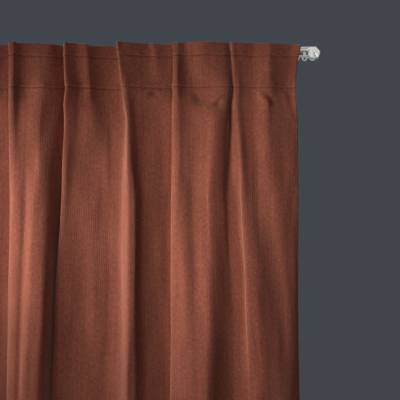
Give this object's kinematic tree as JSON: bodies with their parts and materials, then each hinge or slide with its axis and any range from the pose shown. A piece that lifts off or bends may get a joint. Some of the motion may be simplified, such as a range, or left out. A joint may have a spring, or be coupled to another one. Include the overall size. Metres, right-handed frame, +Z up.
{
  "type": "velvet curtain on a curtain rail",
  "caption": "Ribbed velvet curtain panel with a pleated heading, hung by hooks and gliders from a slim white curtain rail.",
  "frame": {"origin": "centre of the rail's flat top face, halfway along its length", "axes": "+Z up out of the rail's top; +X along the rail, to the right of someone facing the curtain; the velvet face looks along -Y"},
  "size_m": [1.0422, 0.07, 2.5],
  "materials": {
    "velvet": "ribbed rust-red velvet pile on the face, plain woven on the back",
    "tape": "off-white woven heading tape",
    "rail_white": "satin white coating",
    "white_plastic": "white moulded plastic",
    "hook_plastic": "white moulded plastic"
  },
  "bodies": {
    "root": {"curtain_panel": "velvet", "heading_tape": "tape", "rail": "rail_white", "end_cap_right": "white_plastic", "end_cap_left": "white_plastic", "glider_left_edge": "white_plastic", "glider_p1": "white_plastic", "glider_p2": "white_plastic", "glider_p3": "white_plastic", "glider_p4": "white_plastic", "glider_p5": "white_plastic", "glider_p6": "white_plastic", "glider_p7": "white_plastic", "glider_right_edge": "white_plastic", "glider_spare": "white_plastic", "hook_left_edge": "hook_plastic", "hook_p1": "hook_plastic", "hook_p2": "hook_plastic", "hook_p3": "hook_plastic", "hook_p4": "hook_plastic", "hook_p5": "hook_plastic", "hook_p6": "hook_plastic", "hook_p7": "hook_plastic", "hook_right_edge": "hook_plastic"}
  },
  "joints": []
}
